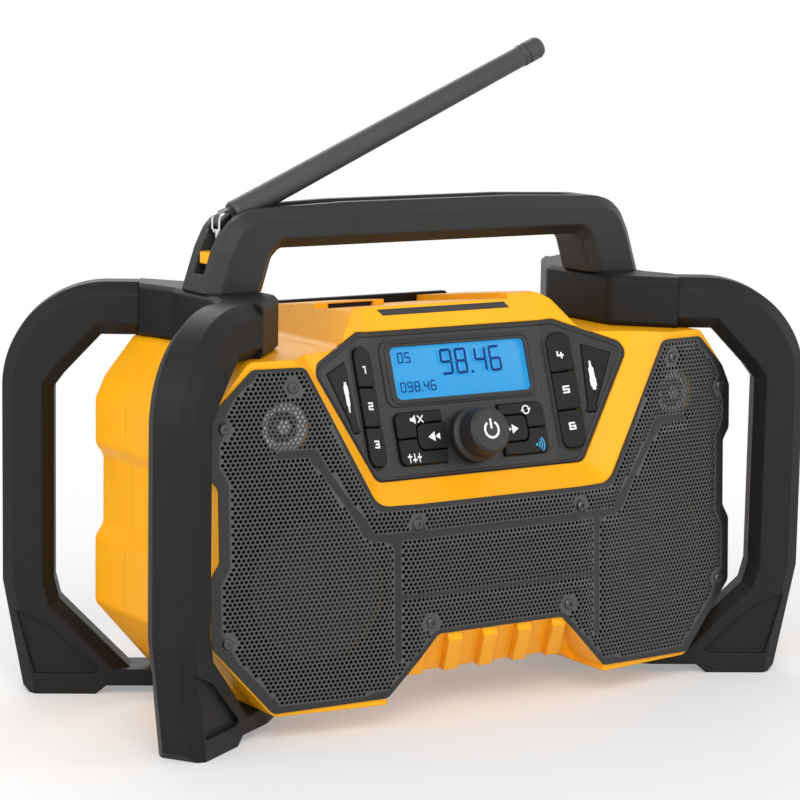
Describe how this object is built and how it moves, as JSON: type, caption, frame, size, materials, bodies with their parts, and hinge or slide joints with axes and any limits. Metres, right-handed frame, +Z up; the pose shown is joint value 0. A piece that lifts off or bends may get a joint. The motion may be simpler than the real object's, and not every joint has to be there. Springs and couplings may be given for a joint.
{
  "type": "jobsite radio",
  "caption": "Rugged radio in a tubular guard with a carrying handle, folding aerial, keypad panel with a display and knob, perforated speaker front and a lidded battery bay.",
  "frame": {"origin": "centre of the footprint on the floor", "axes": "+X to the right seen from the front, the front with the grille faces -Y, +Z up"},
  "size_m": [0.4408, 0.209, 0.3771],
  "materials": {
    "black_plastic": "moulded, fine grain",
    "yellow_plastic": "moulded, satin",
    "screw_steel": "blackened",
    "black_rubber": "soft matt",
    "chrome": "bright",
    "grille_steel": "powder coated, perforated in the shaded model",
    "gloss_black": "semi-gloss",
    "lens": "clear window",
    "display_backlight": "blue backlight",
    "board_green": "solder mask",
    "shaft_metal": "turned",
    "inner_plastic": "moulded",
    "speaker_cone": "pressed cone with a rubber edge",
    "basket_steel": "pressed"
  },
  "bodies": {
    "radio": {"aerial_collar": "yellow_plastic", "aerial_pin": "screw_steel", "aerial_stud": "chrome", "battery_tray": "inner_plastic", "control_board": "board_green", "control_panel": "gloss_black", "display_lens": "lens", "display_module": "display_backlight", "encoder_body": "inner_plastic", "front_housing": "yellow_plastic", "front_left_guard_loop": "black_plastic", "front_right_guard_loop": "black_plastic", "grille_screws": "screw_steel", "guard_screws": "screw_steel", "handle": "black_plastic", "housing_screws": "screw_steel", "key_mat": "black_rubber", "left_base_rail": "black_plastic", "left_guard_hub": "black_plastic", "left_jack_socket": "inner_plastic", "left_key_mat": "black_rubber", "left_tweeter": "inner_plastic", "left_woofer_cone": "speaker_cone", "left_woofer_frame": "basket_steel", "lid_hinge_pin": "screw_steel", "main_board": "board_green", "mains_inlet": "inner_plastic", "rear_housing": "yellow_plastic", "rear_left_guard_loop": "black_plastic", "rear_right_guard_loop": "black_plastic", "right_base_rail": "black_plastic", "right_guard_hub": "black_plastic", "right_jack_socket": "inner_plastic", "right_key_mat": "black_rubber", "right_tweeter": "inner_plastic", "right_woofer_cone": "speaker_cone", "right_woofer_frame": "basket_steel", "speaker_grille": "grille_steel", "terminal_block": "inner_plastic"},
    "preset_key_1_body": {"preset_key_1": "black_rubber"},
    "preset_key_2_body": {"preset_key_2": "black_rubber"},
    "preset_key_3_body": {"preset_key_3": "black_rubber"},
    "preset_key_4_body": {"preset_key_4": "black_rubber"},
    "preset_key_5_body": {"preset_key_5": "black_rubber"},
    "preset_key_6_body": {"preset_key_6": "black_rubber"},
    "mute_key_body": {"mute_key": "black_rubber"},
    "eq_key_body": {"eq_key": "black_rubber"},
    "seek_back_key_body": {"seek_back_key": "black_rubber"},
    "mode_key_body": {"mode_key": "black_rubber"},
    "wireless_key_body": {"wireless_key": "black_rubber"},
    "seek_forward_key_body": {"seek_forward_key": "black_rubber"},
    "plunger": {"encoder_plunger": "inner_plastic"},
    "knob": {"volume_knob": "gloss_black", "knob_shaft": "shaft_metal"},
    "aerial": {"aerial_mast": "black_rubber", "aerial_tip": "black_rubber"},
    "left_cover": {"left_jack_cover": "black_rubber"},
    "right_cover": {"right_jack_cover": "black_rubber"},
    "lid": {"battery_lid": "black_plastic"},
    "latch": {"lid_latch": "black_plastic"}
  },
  "joints": [
    {"name": "preset_key_1_press", "type": "slide", "parent": "radio", "child": "preset_key_1_body", "axis": [-0.319, 0.8956, -0.3101], "range_m": [0, 0.0012], "stiffness_N_per_m": 450, "springref_m": -0.0006},
    {"name": "preset_key_2_press", "type": "slide", "parent": "radio", "child": "preset_key_2_body", "axis": [-0.319, 0.8956, -0.3101], "range_m": [0, 0.0012], "stiffness_N_per_m": 450, "springref_m": -0.0006},
    {"name": "preset_key_3_press", "type": "slide", "parent": "radio", "child": "preset_key_3_body", "axis": [-0.319, 0.8956, -0.3101], "range_m": [0, 0.0012], "stiffness_N_per_m": 450, "springref_m": -0.0006},
    {"name": "preset_key_4_press", "type": "slide", "parent": "radio", "child": "preset_key_4_body", "axis": [0.319, 0.8956, -0.3101], "range_m": [0, 0.0012], "stiffness_N_per_m": 450, "springref_m": -0.0006},
    {"name": "preset_key_5_press", "type": "slide", "parent": "radio", "child": "preset_key_5_body", "axis": [0.319, 0.8956, -0.3101], "range_m": [0, 0.0012], "stiffness_N_per_m": 450, "springref_m": -0.0006},
    {"name": "preset_key_6_press", "type": "slide", "parent": "radio", "child": "preset_key_6_body", "axis": [0.319, 0.8956, -0.3101], "range_m": [0, 0.0012], "stiffness_N_per_m": 450, "springref_m": -0.0006},
    {"name": "mute_key_press", "type": "slide", "parent": "radio", "child": "mute_key_body", "axis": [0, 0.9449, -0.3272], "range_m": [0, 0.0012], "stiffness_N_per_m": 450, "springref_m": -0.0006},
    {"name": "eq_key_press", "type": "slide", "parent": "radio", "child": "eq_key_body", "axis": [0, 0.9449, -0.3272], "range_m": [0, 0.0012], "stiffness_N_per_m": 450, "springref_m": -0.0006},
    {"name": "seek_back_key_press", "type": "slide", "parent": "radio", "child": "seek_back_key_body", "axis": [0, 0.9449, -0.3272], "range_m": [0, 0.0012], "stiffness_N_per_m": 450, "springref_m": -0.0006},
    {"name": "mode_key_press", "type": "slide", "parent": "radio", "child": "mode_key_body", "axis": [0, 0.9449, -0.3272], "range_m": [0, 0.0012], "stiffness_N_per_m": 450, "springref_m": -0.0006},
    {"name": "wireless_key_press", "type": "slide", "parent": "radio", "child": "wireless_key_body", "axis": [0, 0.9449, -0.3272], "range_m": [0, 0.0012], "stiffness_N_per_m": 450, "springref_m": -0.0006},
    {"name": "seek_forward_key_press", "type": "slide", "parent": "radio", "child": "seek_forward_key_body", "axis": [0, 0.9449, -0.3272], "range_m": [0, 0.0012], "stiffness_N_per_m": 450, "springref_m": -0.0006},
    {"name": "knob_push", "type": "slide", "parent": "radio", "child": "plunger", "axis": [0, 0.9449, -0.3272], "range_m": [0, 0.001], "stiffness_N_per_m": 900, "springref_m": -0.0006},
    {"name": "knob_turn", "type": "hinge", "parent": "plunger", "child": "knob", "pos_m": [0, -0.06269, 0.15468], "axis": [0, -0.9449, 0.3272], "continuous": true},
    {"name": "aerial_fold", "type": "hinge", "parent": "radio", "child": "aerial", "pos_m": [-0.132, -0.0055, 0.2775], "axis": [0, -1, 0], "range_deg": [-23.8, 66.2]},
    {"name": "left_cover_open", "type": "hinge", "parent": "radio", "child": "left_cover", "pos_m": [-0.08208, -0.06692, 0.16419], "axis": [0.9478, 0.3014, -0.1044], "range_deg": [0, 105]},
    {"name": "right_cover_open", "type": "hinge", "parent": "radio", "child": "right_cover", "pos_m": [0.08208, -0.06692, 0.16419], "axis": [0.9478, -0.3014, 0.1044], "range_deg": [0, 105]},
    {"name": "lid_open", "type": "hinge", "parent": "radio", "child": "lid", "pos_m": [0, 0.0616, 0.058], "axis": [-1, 0, 0], "range_deg": [0, 100]},
    {"name": "latch_slide", "type": "slide", "parent": "lid", "child": "latch", "axis": [0, 0, -1], "range_m": [0, 0.004], "stiffness_N_per_m": 120, "springref_m": -0.001}
  ]
}
